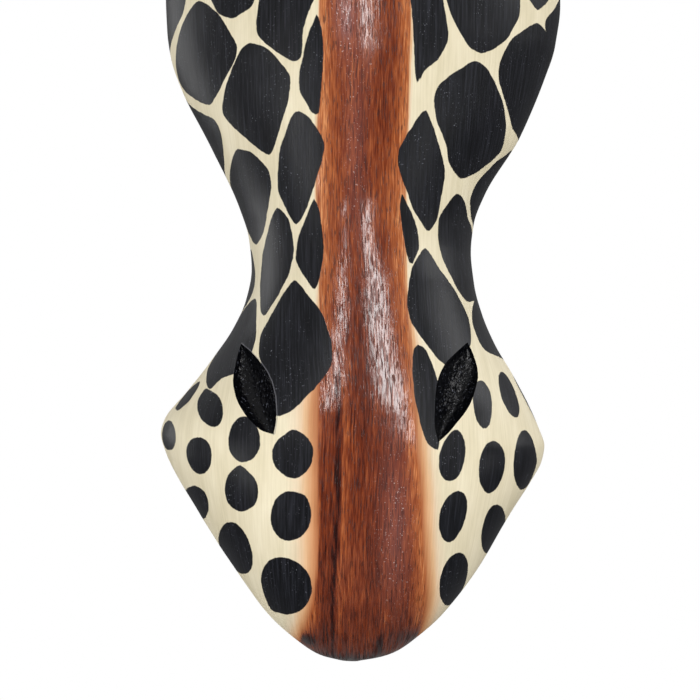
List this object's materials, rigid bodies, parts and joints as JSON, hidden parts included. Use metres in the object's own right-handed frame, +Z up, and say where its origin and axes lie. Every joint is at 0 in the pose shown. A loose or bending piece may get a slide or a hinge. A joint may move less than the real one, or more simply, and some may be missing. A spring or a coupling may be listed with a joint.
{
  "type": "carved giraffe wall mask",
  "caption": "Carved and painted wooden giraffe face for a wall, with gouged nostrils and eyes, separate horns and ears on dowels, a hollowed back and a hinged hanging ring.",
  "frame": {"origin": "on the flat back of the forehead, on the centre line, 50 mm below the hanger's hinge, which is 312 mm above the tip of the muzzle", "axes": "+Z up towards the horns, +Y back into the wall, so the face looks along -Y; +X is to the right of someone who looks at the face"},
  "size_m": [0.2502, 0.086, 0.5054],
  "materials": {
    "painted_face": "satin lacquer over black patches on cream, with a red-brown stained stripe down the middle",
    "stained_horn": "satin lacquer over red-brown stain, with black knobs",
    "painted_ear": "satin lacquer over cream and black paint",
    "plain_dowel": "bare",
    "hanger_brass": "bright plated",
    "screw_steel": "bright"
  },
  "bodies": {
    "mask": {"face_block": "painted_face", "horn_left": "stained_horn", "horn_right": "stained_horn", "ear_left": "painted_ear", "ear_right": "painted_ear", "horn_dowel_left": "plain_dowel", "horn_dowel_right": "plain_dowel", "ear_dowel_left": "plain_dowel", "ear_dowel_right": "plain_dowel", "hanger_strap": "hanger_brass", "hanger_screw_upper": "screw_steel", "hanger_screw_lower": "screw_steel"},
    "ring": {"hanger_ring": "hanger_brass"}
  },
  "joints": [
    {"name": "ring_swing", "type": "hinge", "parent": "mask", "child": "ring", "pos_m": [0, -0.0029, 0.05], "axis": [1, 0, 0], "range_deg": [0, 180]}
  ]
}
